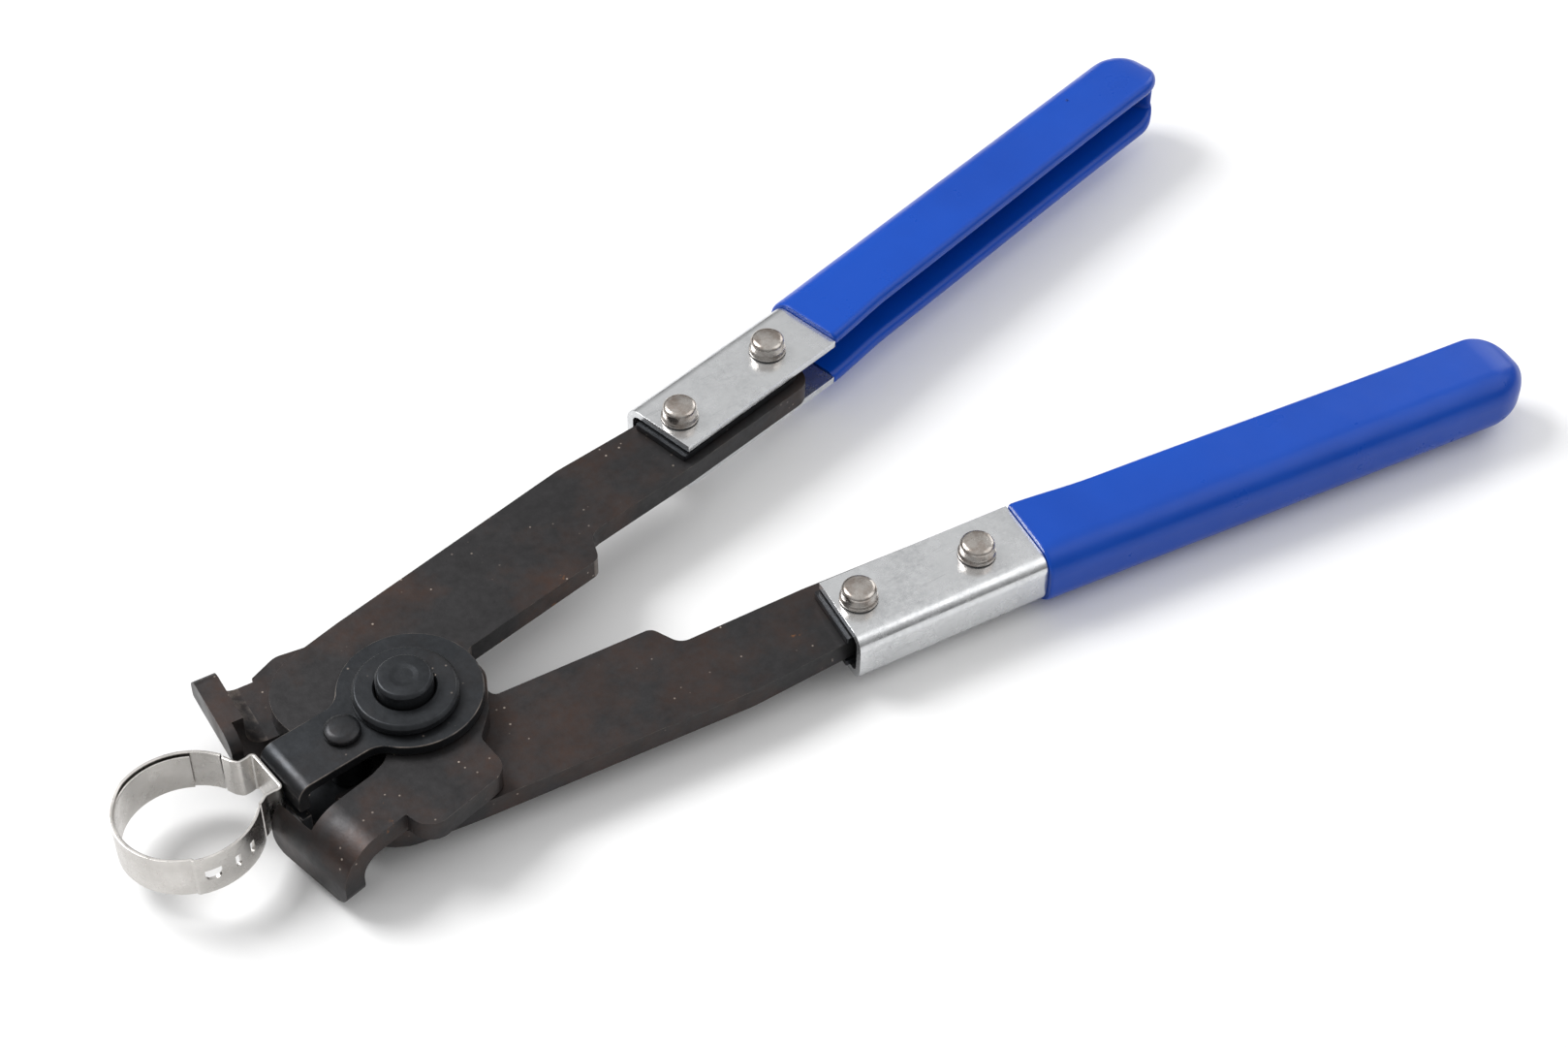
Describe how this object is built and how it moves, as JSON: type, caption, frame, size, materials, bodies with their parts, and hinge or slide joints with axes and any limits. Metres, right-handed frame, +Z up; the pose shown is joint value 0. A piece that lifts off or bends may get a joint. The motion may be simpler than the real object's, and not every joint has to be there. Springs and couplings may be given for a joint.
{
  "type": "ear clamp crimping pliers",
  "caption": "Long-handled hand pliers with turned-in jaws that pinch the raised ear of a band clamp, dipped blue grips, and a stainless ear clamp held in the jaws.",
  "frame": {"origin": "on the pivot axis, at the foot of the pivot stud", "axes": "+X along the middle of the tool from the pivot to the handles, +Y towards the handle of the upper lever, +Z up along the pivot"},
  "size_m": [0.2716, 0.1178, 0.0225],
  "materials": {
    "blackened_steel": "blackened, brown patina, satin",
    "guide_steel": "blackened, satin",
    "zinc": "bright zinc plate, fine grain",
    "rivet_steel": "polished by use",
    "blue_vinyl": "dipped vinyl, satin gloss",
    "stainless": "bright rolled strip"
  },
  "bodies": {
    "guide": {"pivot_pin": "guide_steel", "top_washer": "guide_steel", "bottom_washer": "guide_steel", "top_guide_plate": "guide_steel", "bottom_guide_plate": "guide_steel", "guide_spacer": "guide_steel", "guide_rivet": "guide_steel"},
    "top_arm": {"top_lever": "blackened_steel", "upper_handle_channel": "zinc", "upper_handle_grip": "blue_vinyl", "upper_handle_rivet_1": "rivet_steel", "upper_handle_rivet_2": "rivet_steel", "upper_shim_top": "guide_steel", "upper_shim_bottom": "guide_steel"},
    "bottom_arm": {"bottom_lever": "blackened_steel", "lower_handle_channel": "zinc", "lower_handle_grip": "blue_vinyl", "lower_handle_rivet_1": "rivet_steel", "lower_handle_rivet_2": "rivet_steel", "lower_shim_top": "guide_steel", "lower_shim_bottom": "guide_steel"},
    "ear_clamp": {"clamp_band": "stainless", "clamp_ear": "stainless"}
  },
  "joints": [
    {"name": "top_arm_pivot", "type": "hinge", "parent": "guide", "child": "top_arm", "pos_m": [0, 0, 0.01055], "axis": [0, 0, 1], "range_deg": [-7, 8], "deforming": ["clamp_ear"]},
    {"name": "bottom_arm_pivot", "type": "hinge", "parent": "guide", "child": "bottom_arm", "pos_m": [0, 0, 0.01055], "axis": [0, 0, 1], "range_deg": [-8, 7]},
    {"name": "clamp_slide", "type": "slide", "parent": "guide", "child": "ear_clamp", "axis": [-1, 0, 0], "range_m": [0, 0.03]}
  ],
  "couplings": [
    {"joint": "bottom_arm_pivot", "follows": "top_arm_pivot", "ratio": -1}
  ]
}
